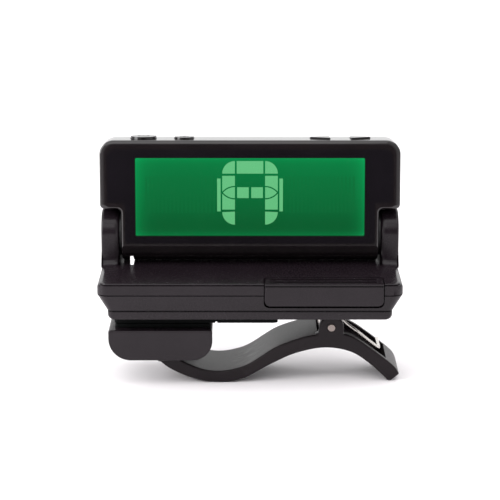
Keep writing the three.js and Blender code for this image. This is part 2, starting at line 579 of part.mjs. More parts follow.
function clipLever() {
  const across = (outline) => extrude('y', outline, -LEVER.half, LEVER.half);
  const body = across(leverProfile());
  const neck = across(polygon([[-20.1, 7.0], [-19.2, 4.6], [-15.6, 4.2], [-16.7, 7.8]]));
  const knuckle = rod('y', SHOE_PIN.x, SHOE_PIN.z, SHOE_PIN.knuckle, -LEVER.half, LEVER.half);
  const earTop = PIVOT.z + 2.6;
  const earOutline = rounded([
    [11.8, 9.6], [12.2, 8.8], [19.6, 8.8], [19.6, earTop, 2.59], [14.4, earTop, 2.59], [14.4, 10.4, 1.2],
  ], 5);
  const ears = [-LEVER.half, LEVER.earInner].map((from) =>
    extrude('y', earOutline, from, from + LEVER.half - LEVER.earInner));
  const thumbPocket = polygon([
    [18.0, 9.4], [19.0, 8.6], [21.9, 7.7], [25.2, 5.3], [27.3, 3.2], [28.6, 4.6], [28.6, 13], [18.0, 13],
  ]);
  return cut(
    joined([body, knuckle, neck, ...ears]).intersect(extrude('z', leverPlan(), -1, 20)),
    rod('y', PIVOT.x, PIVOT.z, LEVER.pocketRadius, -LEVER.earInner, LEVER.earInner, 32),
    extrude('y', thumbPocket, -LEVER.pocketHalf, LEVER.pocketHalf),
    rod('y', PIVOT.x, PIVOT.z, PIVOT.pin + 0.1, -10, 10),
    rod('y', SHOE_PIN.x, SHOE_PIN.z, SHOE_PIN.radius + GAP, -10, 10),
  );
}

// A tray for the lower pad, open below, with a side wall at its front and back.
function jawShoe() {
  const { left, right, top, bottom, half, wall, floor } = SHOE;
  const corners = [[left, bottom, 4.6], [right, bottom, 4.2], [right, top, 0.4], [left, top, 0.4]];
  const outline = rounded(corners, 7);
  const inside = box([left - 1, right + 1], [-half + wall, half - wall], [bottom - 1, top - floor]);
  const dimples = [-half + 0.6, half - 2].map((from) =>
    rod('y', SHOE_PIN.x, SHOE_PIN.z, SHOE_PIN.radius + 0.1, from, from + 1.4));
  return cut(extrude('y', outline, -half, half, { edge: [0.3, 0.3] }), inside, ...dimples);
}

function lowerJawPad() {
  return extrude('z', rectangle(-28.1, -PAD.half, -8.2, PAD.half, 0.8), SHOE.top + GAP, 13.0);
}

// One torsion spring: an arm with a hooked end in the thumb tab, the coil round the pivot pin, and a
// hooked arm against the bottom plate.
function clipSpring() {
  const { coil, wire: radius, halfLength, turns } = SPRING;
  const [start, end] = [60, 76 + 360 * turns];
  const count = turns * 12;
  const winding = Array.from({ length: count + 1 }, (_, i) => {
    const share = i / count;
    const angle = THREE.MathUtils.degToRad(start + (end - start) * share);
    const along = -halfLength + 2 * halfLength * share;
    return [PIVOT.x + coil * Math.cos(angle), along, PIVOT.z + coil * Math.sin(angle)];
  });
  const leverArm = [
    [27.1, 4.0, 6.2], [27.1, 1.0, 6.2], [27.1, -2.1, 6.2], [26.7, -2.8, 6.6], [24.9, -3.0, 8.3],
    [22.6, -3.0, 10.4], [20.2, -3.0, 11.95],
  ];
  const baseArm = [
    [15.6, 3.0, 13.75], [13.6, 3.0, 14.0], [12.6, 2.9, 14.1], [12.2, 2.3, 14.15], [12.2, 0.6, 14.15],
    [12.2, -1.4, 14.15],
  ];
  return wire([...leverArm, ...winding, ...baseArm], radius, 190);
}

function buildClip(parent) {
  piece(parent, 'clip_lever', clipLever(), MATERIALS.case);
  piece(parent, 'pivot_pin', rod('y', PIVOT.x, PIVOT.z, PIVOT.pin, -6.85, 6.85), MATERIALS.steel);
  piece(parent, 'clip_spring', clipSpring(), MATERIALS.steel);
  piece(parent, 'jaw_shoe', jawShoe(), MATERIALS.case);
  piece(parent, 'shoe_pin', rod('y', SHOE_PIN.x, SHOE_PIN.z, SHOE_PIN.radius, -9.3, 9.3), MATERIALS.steel);
  piece(parent, 'lower_jaw_pad', lowerJawPad(), MATERIALS.rubber);
}

const tuner = new THREE.Group();
buildBase(tuner);
buildHinge(tuner);
buildHead(tuner);
buildClip(tuner);

export default tuner;
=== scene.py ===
# Looks for a folding clip-on instrument tuner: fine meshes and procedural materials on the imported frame.
# Shapes are modelled in millimetres and scaled to metres when they are put in place.
import json
import math

import bmesh
import bpy
from mathutils import Matrix, Vector

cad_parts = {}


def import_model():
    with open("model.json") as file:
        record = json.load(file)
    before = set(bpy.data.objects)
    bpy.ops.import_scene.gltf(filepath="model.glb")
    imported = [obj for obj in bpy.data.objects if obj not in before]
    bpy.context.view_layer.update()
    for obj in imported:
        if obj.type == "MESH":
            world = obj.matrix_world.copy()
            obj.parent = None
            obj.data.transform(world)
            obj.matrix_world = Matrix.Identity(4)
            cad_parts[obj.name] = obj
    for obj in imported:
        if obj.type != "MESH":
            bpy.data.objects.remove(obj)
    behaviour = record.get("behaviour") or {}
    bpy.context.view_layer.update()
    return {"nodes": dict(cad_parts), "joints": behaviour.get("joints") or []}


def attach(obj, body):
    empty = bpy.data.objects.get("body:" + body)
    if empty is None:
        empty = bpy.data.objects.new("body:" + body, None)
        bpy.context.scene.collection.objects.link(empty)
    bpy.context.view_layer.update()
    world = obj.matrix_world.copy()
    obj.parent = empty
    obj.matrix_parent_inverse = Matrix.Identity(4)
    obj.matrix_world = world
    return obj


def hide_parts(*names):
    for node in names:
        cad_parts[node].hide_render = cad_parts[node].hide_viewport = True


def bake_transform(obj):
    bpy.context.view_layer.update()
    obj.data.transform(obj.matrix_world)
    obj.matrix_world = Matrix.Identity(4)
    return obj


MM = 0.001
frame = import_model()
JOINTS = {joint["name"]: joint for joint in frame["joints"]}


def measure(node, local=Matrix.Identity(4)):
    """Lowest and highest corner of a CAD node in millimetres, in the row frame or in another one."""
    points = [local @ (vertex.co / MM) for vertex in frame["nodes"][node].data.vertices]
    low = Vector([min(point[i] for point in points) for i in range(3)])
    high = Vector([max(point[i] for point in points) for i in range(3)])
    return low, high


# ------ places read from the frame
HINGE = Vector(JOINTS["head_tilt"]["pos_m"]) / MM
PRESS = JOINTS["power_press"]["axis"]  # runs down the head, so it gives the head's lean at rest
TILT = math.atan2(-PRESS[1], -PRESS[2])
HEAD = Matrix.Translation(HINGE) @ Matrix.Rotation(-TILT, 4, "X")
TO_HEAD = HEAD.inverted()
PIVOT = Vector(JOINTS["clip_jaw"]["pos_m"]) / MM
SHOE_PIN = Vector(JOINTS["jaw_shoe_swivel"]["pos_m"]) / MM

SHELL_HIGH = measure("base_upper_shell")[1]
LOWER_LOW, LOWER_HIGH = measure("base_lower_shell")
PLATE_LOW, PLATE_HIGH = measure("bottom_plate")
TRAY_LOW, TRAY_HIGH = measure("battery_tray")
HEAD_LOW, HEAD_HIGH = measure("head_rear_case", TO_HEAD)
BEZEL_LOW = measure("head_front_case", TO_HEAD)[0]
PANE_LOW, PANE_HIGH = measure("display_window", TO_HEAD)
LCD_LOW, LCD_HIGH = measure("lcd_panel", TO_HEAD)
LEVER_HIGH = measure("clip_lever")[1]
SHOE_LOW, SHOE_HIGH = measure("jaw_shoe")
UPPER_PAD_LOW, UPPER_PAD_HIGH = measure("upper_jaw_pad")

# ------ other dimensions, in millimetres
GAP = 0.05  # between two pieces that touch on the real object
WALL = 1.2
FAR = 40  # reaches past the whole part
EDGE = 0.14  # rounding of the base shells' edges

DECK = TRAY_HIGH.z
DECK_THICK = 0.9
FRONT = LOWER_LOW.y
SEAM = LOWER_HIGH.z + GAP
CORNER = 2.2
TAPER_SIDE = SHELL_HIGH.x - PLATE_HIGH.x
TAPER_END = SHELL_HIGH.y - PLATE_HIGH.y
SEAM_INSET = 0.35  # depth of the groove between the lower shell and the plate
BASE_SCREWS = [measure(f"base_screw_{i}") for i in range(1, 5)]
SCREW_HEAD = 1.2  # radius of the recess round a screw's head

EAR_INNER = 27.6
EAR_RADIUS = 4.85
EAR_RISE = 5.2
EAR_ROUND = EAR_RADIUS - 0.01
FOOT = DECK - 0.4  # how deep the ears and the cradle are rooted in the deck
SLOT = (-25.3, -24.7)  # left and right side of the slot beside the left ear
SLOT_FRONT = 2.9
PIN_BORE = 1.25

DOOR_BOTTOM = TRAY_LOW.z
DOOR_GAP = 0.18
DOOR_BACK = FRONT + WALL + 1.4  # how far back the lower shell is open for the door
LEDGE_DEPTH = 4.9
LIP = 0.85  # thickness of the drawer's ledge

NOTCH_HALF = 27.1
NOTCH_TOP = 5.6
CHIN = 5.85
BEZEL_SPLIT = HEAD_LOW.y - GAP
WINDOW_FACE = BEZEL_LOW.y + 0.03
DISPLAY_HALF = 24.1
DISPLAY_LOW = -0.1
DISPLAY_HIGH = 16.4
BUTTON_Y = -0.75
ARROW_HALF = 2.3
BUTTONS = {
    "power": {"x": -22.5, "radius": 2.75, "proud": 0.55},
    "mode": {"x": -13.9, "radius": 2.1, "proud": 0.4},
    "left_arrow": {"x": 15.2, "way": -1, "proud": 0.35},
    "right_arrow": {"x": 22.9, "way": 1, "proud": 0.35},
}


# ------ outlines
def arc(x, y, radius, start, end, steps):
    """Points on an arc; angles in degrees."""
    angles = [math.radians(start + (end - start) * i / steps) for i in range(steps + 1)]
    return [Vector((x + radius * math.cos(a), y + radius * math.sin(a))) for a in angles]


def circle(x, y, radius, sides=48):
    return arc(x, y, radius, 0, 360 - 360 / sides, sides - 1)


def rounded(corners, steps=8):
    """Closed outline through (x, y, radius) corners, each one turned on an arc of its radius."""
    outline = []
    for i, (x, y, radius) in enumerate(corners):
        here = Vector((x, y))
        if radius == 0:
            outline.append(here)
            continue
        back = (Vector(corners[i - 1][:2]) - here).normalized()
        on = (Vector(corners[(i + 1) % len(corners)][:2]) - here).normalized()
        half = back.angle(on) / 2
        centre = here + (back + on).normalized() * (radius / math.sin(half))
        start = here + back * (radius / math.tan(half)) - centre
        turn = (math.pi - 2 * half) * (1 if back.cross(on) < 0 else -1)
        for k in range(steps + 1):
            outline.append(centre + Matrix.Rotation(turn * k / steps, 2) @ start)
    return outline


def four_sided(x0, y0, x1, y1, radii, steps=8):
    """A rectangle with a radius for each corner, anticlockwise from the lower left one."""
    corners = [(x0, y0), (x1, y0), (x1, y1), (x0, y1)]
    return rounded([(*corner, radius) for corner, radius in zip(corners, radii)], steps)


def rectangle(x0, y0, x1, y1, radius=0.0, steps=8):
    return four_sided(x0, y0, x1, y1, [radius] * 4, steps)


def polygon(points):
    return [Vector(point) for point in points]


def spline(points, steps):
    """Points on a smooth open curve through the given ones, a Catmull-Rom spline."""
    ends = [points[0]] + list(points) + [points[-1]]
    curve = []
    for i in range(1, len(ends) - 2):
        p0, p1, p2, p3 = (Vector(p) for p in ends[i - 1:i + 3])
        for k in range(steps):
            t = k / steps
            bend = (2 * p0 - 5 * p1 + 4 * p2 - p3) * t * t + (3 * p1 - p0 - 3 * p2 + p3) * t ** 3
            curve.append((2 * p1 + (p2 - p0) * t + bend) / 2)
    return curve + [Vector(points[-1])]


def inset(outline, across, along=None):
    """An anticlockwise outline moved inwards, by one distance sideways and by another one lengthways."""
    along = across if along is None else along
    moved = []
    for i, here in enumerate(outline):
        before = (here - outline[i - 1]).normalized()
        after = (outline[(i + 1) % len(outline)] - here).normalized()
        normal = Vector((-before.y - after.y, before.x + after.x))
        step = normal * (2 / normal.length_squared)
        moved.append(here + Vector((step.x * across, step.y * along)))
    return moved


# ------ solids
def to_object(data):
    made = bpy.data.objects.new(data.name, data)
    bpy.context.scene.collection.objects.link(made)
    return made


def skin(build, loops):
    """Closes loops of equally many points into a solid, with a face at both ends."""
    count = len(loops[0])
    for low, high in zip(loops, loops[1:]):
        for i in range(count):
            j = (i + 1) % count
            build.faces.new((low[i], low[j], high[j], high[i]))
    build.faces.new(loops[0][::-1])
    build.faces.new(loops[-1])
    bmesh.ops.recalc_face_normals(build, faces=build.faces)
    return finish_mesh(build)


def finish_mesh(build):
    mesh = bpy.data.meshes.new("solid")
    build.to_mesh(mesh)
    build.free()
    return to_object(mesh)


def stack(axis, rings):
    """A solid through rings of equally many points at rising places along an axis, capped at both ends.
    The outlines are drawn in the other two axes, in X, Y, Z order."""
    build = bmesh.new()
    place = {
        "x": lambda p, at: (at, p.x, p.y),
        "y": lambda p, at: (p.x, at, p.y),
        "z": lambda p, at: (p.x, p.y, at),
    }[axis]
    return skin(build, [[build.verts.new(place(point, at)) for point in outline] for outline, at in rings])


def quarter(reach, depth, steps):
    """(inset, rise) pairs of an edge rounded on a quarter ellipse, from its outer rim inwards."""
    angles = [math.pi / 2 * i / steps for i in range(steps + 1)]
    return [(reach * (1 - math.sin(a)), depth * (1 - math.cos(a))) for a in angles]


def prism(axis, outline, low, high, edge=0.0, edges=None, steps=4):
    """An outline extruded along an axis. Its end rims are rounded: edge is one radius, and edges are two
    (reach, depth) pairs, for the low and the high end."""
    low_edge, high_edge = edges or ((edge, edge), (edge, edge))
    rings = [(outline, low), (outline, high)]
    if low_edge[0]:
        rings[:1] = [(inset(outline, a), low + b) for a, b in quarter(*low_edge, steps)]
    if high_edge[0]:
        rings[-1:] = [(inset(outline, a), high - b) for a, b in quarter(*high_edge, steps)[::-1]]
    return stack(axis, rings)


def block(x, y, z):
    return prism("z", rectangle(x[0], y[0], x[1], y[1]), z[0], z[1])


def rod(axis, u, v, radius, low, high, edge=0.0, sides=48):
    return prism(axis, circle(u, v, radius, sides), low, high, edge)


def bake(solid):
    """Applies a solid's modifiers to its mesh."""
    graph = bpy.context.evaluated_depsgraph_get()
    mesh = bpy.data.meshes.new_from_object(solid.evaluated_get(graph))
    solid.modifiers.clear()
    solid.data = mesh


def combine(solid, operation, tools):
    for tool in tools:
        step = solid.modifiers.new("combine", "BOOLEAN")
        step.operation = operation
        step.solver = "MANIFOLD"
        step.object = tool
    bake(solid)
    for tool in tools:
        bpy.data.objects.remove(tool)
    return solid


def cut(solid, *tools):
    return combine(solid, "DIFFERENCE", tools)


def joined(solid, *others):
    return combine(solid, "UNION", others)


def common(solid, other):
    return combine(solid, "INTERSECT", [other])


def soften(solid, width, segments=3):
    """Rounds every edge that turns by more than 40 degrees."""
    bevel = solid.modifiers.new("bevel", "BEVEL")
    bevel.width = width
    bevel.segments = segments
    bevel.limit_method = "ANGLE"
    bevel.angle_limit = math.radians(40)
    bevel.use_clamp_overlap = True
    bevel.miter_outer = "MITER_ARC"
    bake(solid)


def stations(line):
    """Place, direction and two crosswise directions at each point of a line, with no twist between them."""
    made = []
    side = None
    for i, here in enumerate(line):
        along = (line[min(i + 1, len(line) - 1)] - line[max(i - 1, 0)]).normalized()
        if side is None:
            side = along.orthogonal().normalized()
        side = (side - along * side.dot(along)).normalized()
        made.append((here, along, side, along.cross(side)))
    return made


def tube(points, radius, sides=12):
    """A round wire along a line of points, with round ends."""
    line = stations([Vector(point) for point in points])
    angles = [2 * math.pi * k / sides for k in range(sides)]
    rings = []

    def ring(station, size, ahead=0.0):
        here, along, side, up = station
        centre = here + along * ahead
        rings.append([centre + (side * math.cos(a) + up * math.sin(a)) * size for a in angles])

    for share in (0.25, 0.7):
        ring(line[0], radius * share, -radius * math.sqrt(1 - share ** 2))
    for station in line:
        ring(station, radius)
    for share in (0.7, 0.25):
        ring(line[-1], radius * share, radius * math.sqrt(1 - share ** 2))
    build = bmesh.new()
    return skin(build, [[build.verts.new(point) for point in places] for places in rings])


def shade_smooth(mesh, angle=35):
    mesh.polygons.foreach_set("use_smooth", [True] * len(mesh.polygons))
    mesh.set_sharp_from_angle(angle=math.radians(angle))


def put(solid, name, body, material, nodes=(), local=Matrix.Identity(4), crease=35):
    """Names a finished solid, brings it to metres and its place, and hands it to the frame."""
    solid.name = name
    solid.data.name = name
    solid.data.transform(Matrix.Scale(MM, 4) @ local)
    shade_smooth(solid.data, crease)
    solid.modifiers.new("normals", "WEIGHTED_NORMAL").keep_sharp = True
    bake(solid)
    solid.data.materials.clear()
    solid.data.materials.append(material)
    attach(solid, body)
    if nodes:
        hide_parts(*nodes)


# ------ materials
def new_material(name):
    material = bpy.data.materials.new(name)
    material.use_nodes = True
    tree = material.node_tree
    return material, tree, tree.nodes["Principled BSDF"]


def fill(tree, node, inputs):
    """Gives a node's inputs a plain value, an opaque colour or another node's output."""
    for name, value in inputs.items():
        socket = node.inputs[name]
        if isinstance(value, bpy.types.NodeSocket):
            tree.links.new(value, socket)
        elif socket.type == "RGBA":
            socket.default_value = (*value, 1)
        else:
            socket.default_value = value
    return node


def add_node(tree, kind, inputs, **settings):
    node = tree.nodes.new(f"ShaderNode{kind}")
    for name, value in settings.items():
        setattr(node, name, value)
    return fill(tree, node, inputs)


def coordinates(tree, kind):
    return add_node(tree, "TexCoord", {}).outputs[kind]


def calculate(tree, operation, *values, clamp=False):
    inputs = dict(enumerate(values))
    return add_node(tree, "Math", inputs, operation=operation, use_clamp=clamp).outputs[0]


def noise(tree, scale, detail=4.0, stretch=None):
    """Noise in the piece's own space, in cells per metre, stretched along an axis if asked."""
    place = coordinates(tree, "Object")
    if stretch:
        place = add_node(tree, "Mapping", {"Vector": place, "Scale": stretch}).outputs["Vector"]
    texture = add_node(tree, "TexNoise", {"Vector": place, "Scale": scale, "Detail": detail})
    return texture.outputs["Fac"]


def remap(tree, source, start, end, low, high):
    """A value from one range mapped to another, and held at its ends."""
    inputs = {"Value": source, "From Min": start, "From Max": end, "To Min": low, "To Max": high}
    return add_node(tree, "MapRange", inputs).outputs["Result"]


def spread(tree, source, low=0, high=1):
    """A noise's middle range mapped to a range of values."""
    return remap(tree, source, 0.3, 0.7, low, high)


def blend_colours(tree, share, first, second):
    mix = add_node(tree, "Mix", {}, data_type="RGBA")
    return fill(tree, mix, {"Factor": share, "A": first, "B": second}).outputs["Result"]


def bump(tree, source, strength, distance):
    inputs = {"Height": source, "Strength": strength, "Distance": distance}
    return add_node(tree, "Bump", inputs).outputs["Normal"]


def moulded(name, dark, light, rough, grain=4000, depth=0.00001, specular=0.5):
    """Moulded plastic or rubber: two close tones, a fine spark-eroded grain and uneven gloss."""
    material, tree, shader = new_material(name)
    fine = noise(tree, grain, 2)
    fill(tree, shader, {
        "Base Color": blend_colours(tree, spread(tree, noise(tree, 160, 3)), dark, light),
        "Roughness": spread(tree, fine, *rough),
        "Specular IOR Level": specular,
        "Normal": bump(tree, fine, 0.5, depth),
    })
    return material


def scuff_and_sheen(material, centre, stretch, reach, tone):
    """Paints the plastic pale in fine streaks round a spot: rubbed streaks together with a painted sheen, a
    highlight painted into the base colour.
    """
    tree = material.node_tree
    base = tree.nodes["Principled BSDF"].inputs["Base Color"]
    offset = [-place * scale * MM for place, scale in zip(centre, stretch)]
    mapping = add_node(tree, "Mapping", {
        "Vector": coordinates(tree, "Object"), "Location": offset, "Scale": stretch})
    length = add_node(tree, "VectorMath", {0: mapping.outputs["Vector"]}, operation="LENGTH")
    near = remap(tree, length.outputs["Value"], 0, reach * MM, 1, 0)
    streaks = spread(tree, noise(tree, 1100, 5, (0.35, 1, 0.35)), -0.6, 1)
    share = calculate(tree, "MULTIPLY", near, streaks)
    tree.links.new(blend_colours(tree, share, base.links[0].from_socket, tone), base)


def polished(name, colour, roughness):
    """Polished plastic with the faint waves of a moulding."""
    material, tree, shader = new_material(name)
    tint = [channel * 1.3 for channel in colour]
    cloud = noise(tree, 90, 2)
    fill(tree, shader, {
        "Base Color": blend_colours(tree, spread(tree, cloud), colour, tint),
        "Roughness": roughness,
        "Normal": bump(tree, cloud, 0.1, 0.00002),
    })
    return material


def metal(name, colour, rough, stretch=(1, 1, 1), scratch=0.000003):
    """Drawn or turned metal, its fine lines along the stretched axis."""
    material, tree, shader = new_material(name)
    lines = noise(tree, 900, 5, stretch)
    bright = [min(channel * 1.15, 1) for channel in colour]
    fill(tree, shader, {
        "Base Color": blend_colours(tree, spread(tree, lines), colour, bright),
        "Roughness": spread(tree, lines, *rough),
        "Metallic": 1,
        "Normal": bump(tree, lines, 0.3, scratch),
    })
    return material


def glowing(name, dim, lit, rim_scale=None):
    """The lit display: brighter towards its top and, when a scale is given, towards its rims. The scale
    takes the centred place across and up to -1 and 1 at the edges of the visible window."""
    material, tree, shader = new_material(name)
    axes = add_node(tree, "SeparateXYZ", {"Vector": coordinates(tree, "Generated")}).outputs

    def add_rim(level, source, scale, power, amount):
        """Adds a glow that rises from the middle to both ends of the display."""
        centred = calculate(tree, "MULTIPLY_ADD", source, scale, -scale / 2)
        curve = calculate(tree, "POWER", calculate(tree, "ABSOLUTE", centred), power)
        return calculate(tree, "MULTIPLY_ADD", curve, amount, level)

    cloud = spread(tree, noise(tree, 60, 1), -0.02, 0.02)
    level = calculate(tree, "MULTIPLY_ADD", axes["Z"], 0.48, cloud)
    if rim_scale:
        level = add_rim(level, axes["X"], rim_scale[0], 19, 0.4)
        level = add_rim(level, axes["Z"], rim_scale[1], 12, 0.25)
    level = calculate(tree, "ADD", level, 0.0, clamp=True)
    fill(tree, shader, {
        "Emission Color": blend_colours(tree, level, dim, lit),
        "Emission Strength": 1,
        "Base Color": (0.001, 0.004, 0.002),
        "Specular IOR Level": 0,
    })
    return material


CASE = moulded(
    "case_plastic", (0.0088, 0.0058, 0.0080), (0.0114, 0.0078, 0.0104),
    rough=(0.22, 0.30), grain=7000, depth=0.000008, specular=0.26)
CASE_SMOOTH = moulded(
    "case_satin", (0.0074, 0.0054, 0.0062), (0.0100, 0.0074, 0.0084),
    rough=(0.09, 0.15), grain=6000, depth=0.000002, specular=0.6)
LEVER_PLASTIC = moulded(
    "lever_plastic", (0.0066, 0.0040, 0.0052), (0.0088, 0.0056, 0.0070),
    rough=(0.3, 0.44), grain=6000, depth=0.000004, specular=0.2)
# pale streaks on the lever belly's top: partly wear, partly a painted highlight in the base colour
scuff_and_sheen(LEVER_PLASTIC, centre=(-0.4, 0, 4.0), stretch=(2.0, 1, 1), reach=8.0, tone=(0.16, 0.15, 0.15))
BUTTON = moulded(
    "button_plastic", (0.0095, 0.0083, 0.0092), (0.0125, 0.0108, 0.012),
    rough=(0.1, 0.15), grain=6000, depth=0.000002, specular=0.4)
PRINT = moulded(
    "button_print", (0.09, 0.085, 0.09), (0.12, 0.115, 0.12), rough=(0.4, 0.5), grain=6000, depth=0.000005)
RUBBER = moulded(
    "jaw_rubber", (0.0030, 0.0034, 0.0034), (0.0050, 0.0056, 0.0056),
    rough=(0.6, 0.78), grain=4200, depth=0.00003, specular=0.05)
BOARD = moulded(
    "circuit_board", (0.008, 0.06, 0.024), (0.014, 0.085, 0.034),
    rough=(0.28, 0.4), grain=2400, depth=0.00002)
CHIP = moulded(
    "chip_black", (0.010, 0.010, 0.011), (0.016, 0.016, 0.017), rough=(0.4, 0.55), grain=5200)
WASHER = moulded(
    "washer_acetal", (0.006, 0.006, 0.0065), (0.009, 0.009, 0.0095), rough=(0.3, 0.4), specular=0.3)
CABLE = moulded(
    "cable_jacket", (0.010, 0.010, 0.012), (0.016, 0.016, 0.018), rough=(0.4, 0.55))
DIFFUSER = moulded(
    "backlight_diffuser", (0.6, 0.66, 0.6), (0.7, 0.75, 0.7), rough=(0.3, 0.4), grain=2000)
ZEBRA = moulded(
    "contact_rubber", (0.16, 0.03, 0.02), (0.3, 0.06, 0.04), rough=(0.55, 0.7), grain=3000)
GLOSS = polished("window_gloss", (0.0055, 0.0045, 0.0060), 0.03)
PIN_STEEL = metal("pin_steel", (0.24, 0.205, 0.19), (0.3, 0.42), (60, 60, 60))
SPRING_STEEL = metal("spring_steel", (0.6, 0.57, 0.54), (0.2, 0.32))
SCREW_STEEL = metal("screw_steel", (0.16, 0.155, 0.15), (0.3, 0.42))
CELL_STEEL = metal("cell_steel", (0.55, 0.55, 0.53), (0.24, 0.32), (1, 14, 14), 0.000001)
CONTACT_STEEL = metal("contact_steel", (0.6, 0.55, 0.42), (0.22, 0.34), (1, 20, 20))
BRASS = metal("piezo_brass", (0.6, 0.42, 0.16), (0.25, 0.38), (30, 1, 30))
LCD = glowing("lcd_green", (0.0014, 0.088, 0.0212), (0.0022, 0.365, 0.094), (2.1, 2.3))
GLYPH = glowing("lcd_lit_segment", (0.135, 0.54, 0.22), (0.16, 0.62, 0.265))
GHOST = glowing("lcd_unlit_segment", (0.0026, 0.152, 0.0385), (0.0026, 0.188, 0.047))


def clear_pane():
    """Clear acrylic over the display."""
    material, tree, shader = new_material("window_clear")
    fill(tree, shader, {"Base Color": (1, 1, 1), "Roughness": 0.02, "IOR": 1.45, "Transmission Weight": 1})
    return material


PANE = clear_pane()


# ------ base
def base_plan(side, end):
    """The base's outline, drawn in at its sides and at its front and back."""
    corner = max(CORNER - max(side, end) / 2, 0.6)
    x = SHELL_HIGH.x - side
    return rectangle(-x, FRONT + end, x, SHELL_HIGH.y - end, corner, 10)


def door_outline(margin, below):
    """The battery door from the front, run on upwards past the deck."""
    left, right = TRAY_LOW.x - margin, TRAY_HIGH.x + margin
    return four_sided(left, DOOR_BOTTOM - below, right, 30, (1.2, 1.2, 0, 0))


def edge_reach(radius, rise):
    """How far a round edge has drawn in at a height above where its curve starts."""
    rise = min(max(rise, 0.0), radius)
    return radius - math.sqrt(radius ** 2 - rise ** 2)


def outside(outline, low, high):
    """A tool that trims a solid to an outline between two heights."""
    return cut(block((-FAR, FAR), (-FAR, FAR), (low, high)), prism("z", outline, low - 1, high + 1))


def upper_skirt():
    """The shell's block: a tight round along its front edge, a broad one along its sides and a fine groove
    under the rim."""
    side, end = 1.2, 0.22
    groove_z, groove = DECK - 0.36, 0.12
    outline = base_plan(0, 0)
    heights = [SEAM + 0.15, DECK - side, groove_z - groove, groove_z, groove_z + groove]
    heights += [DECK - side + side * math.sin(math.radians(a)) for a in range(10, 91, 8)]
    heights += [DECK - end + end * math.sin(math.radians(a)) for a in range(10, 91, 16)]
    rings = [(inset(outline, 0.22), SEAM)]
    for z in sorted(set(heights)):
        reach_side = edge_reach(side, z - DECK + side)
        reach_end = edge_reach(end, z - DECK + end)
        cut_in = max(groove - abs(z - groove_z), 0) * 2.0
        rings.append((inset(outline, reach_side + cut_in, reach_end + cut_in), z))
    return stack("z", rings)


def ear(side):
    """A hinge ear: rounded all round, but for the rear half of its inner edge, which stays sharp."""
    front, middle, back = HINGE.y - EAR_RADIUS, HINGE.y + 0.5, HINGE.y + EAR_RADIUS
    top, land, fillet = HINGE.z + EAR_RISE, DECK - 0.04, 1.6
    profile = rounded([
        (front - fillet, FOOT, 0), (back, FOOT, 0), (back, top, EAR_ROUND), (front, top, EAR_ROUND),
        (front, land, fillet), (front - fillet, land, 0),
    ], 16)
    inner, outer = (0.7, 1.2), (0.5, 0.5)
    low, high = sorted((side * EAR_INNER, side * SHELL_HIGH.x))
    post = prism("x", profile, low, high, edges=(inner, outer) if side > 0 else (outer, inner), steps=6)
    rear = four_sided(middle, FOOT, back, top, (0, 0, EAR_ROUND, 0), 16)
    low, high = sorted((side * EAR_INNER, side * (EAR_INNER + inner[1] + 0.2)))
    return joined(post, prism("x", rear, low, high))


def cradle():
    """A rib behind the head's chin, hollowed to the chin's curve."""
    reach, rear = CHIN + 0.15, HINGE.y + 4.4
    start, end = (math.degrees(math.asin(y / reach)) - 90 for y in (0.5, 3.9))
    hollow = arc(HINGE.y, HINGE.z, reach, start, end, 20)
    profile = hollow + polygon([(rear, hollow[-1].y), (rear, FOOT), (HINGE.y + 0.5, FOOT)])
    return prism("x", profile[::-1], -EAR_INNER - 0.2, EAR_INNER + 0.2)


def flared(front, back, widen, shift=0.0):
    """The slot seen from above: its right side straight, its left side splayed towards the back."""
    left, right = SLOT[0] - shift, SLOT[1] - shift
    return polygon([(left, front), (right, front), (right, back), (left - widen, back)])


def deck_slot():
    """The slot through the deck's back. Its floor falls away, so that light shows through from behind."""
    high, low, rear, above = DECK - 0.02, SEAM - 0.55, SHELL_HIGH.y + 0.3, DECK + 4
    fall = polygon([(SLOT_FRONT + 0.1, high), (rear, low), (rear, above), (SLOT_FRONT + 0.1, above)])
    plan = prism("z", flared(SLOT_FRONT, rear, 0.65), low - 1, above + 1)
    return common(prism("x", fall, SLOT[0] - 2, SLOT[1] + 1), plan)


def upper_housing():
    """The deck's shell with the ears, cut for the inside, the slot, the drawer and the hinge's pins."""
    shell = joined(upper_skirt(), ear(-1), ear(1), cradle())
    ledge_back = FRONT + LEDGE_DEPTH + DOOR_GAP + 0.07
    ledge = rectangle(TRAY_LOW.x - DOOR_GAP, FRONT - 2, TRAY_HIGH.x + DOOR_GAP, ledge_back, 0.8)
    side = SHELL_HIGH.x
    bores = [
        (2.0, side - 0.6, side + 1), (PIN_BORE, EAR_INNER - 1, side + 1), (PIN_BORE, 1 - side, 1 - EAR_INNER)]
    cut(
        shell,
        prism("z", base_plan(WALL, WALL), SEAM - 1, DECK - DECK_THICK),
        deck_slot(),
        prism("y", door_outline(DOOR_GAP, 0.3), FRONT - 1, FRONT + WALL + GAP),
        prism("z", ledge, DECK - LIP - 0.1, DECK + 1),
        *[rod("x", HINGE.y, HINGE.z, *bore) for bore in bores],
    )
    soften(shell, EDGE)
    put(shell, "upper_housing", "base", CASE, ["base_upper_shell"])


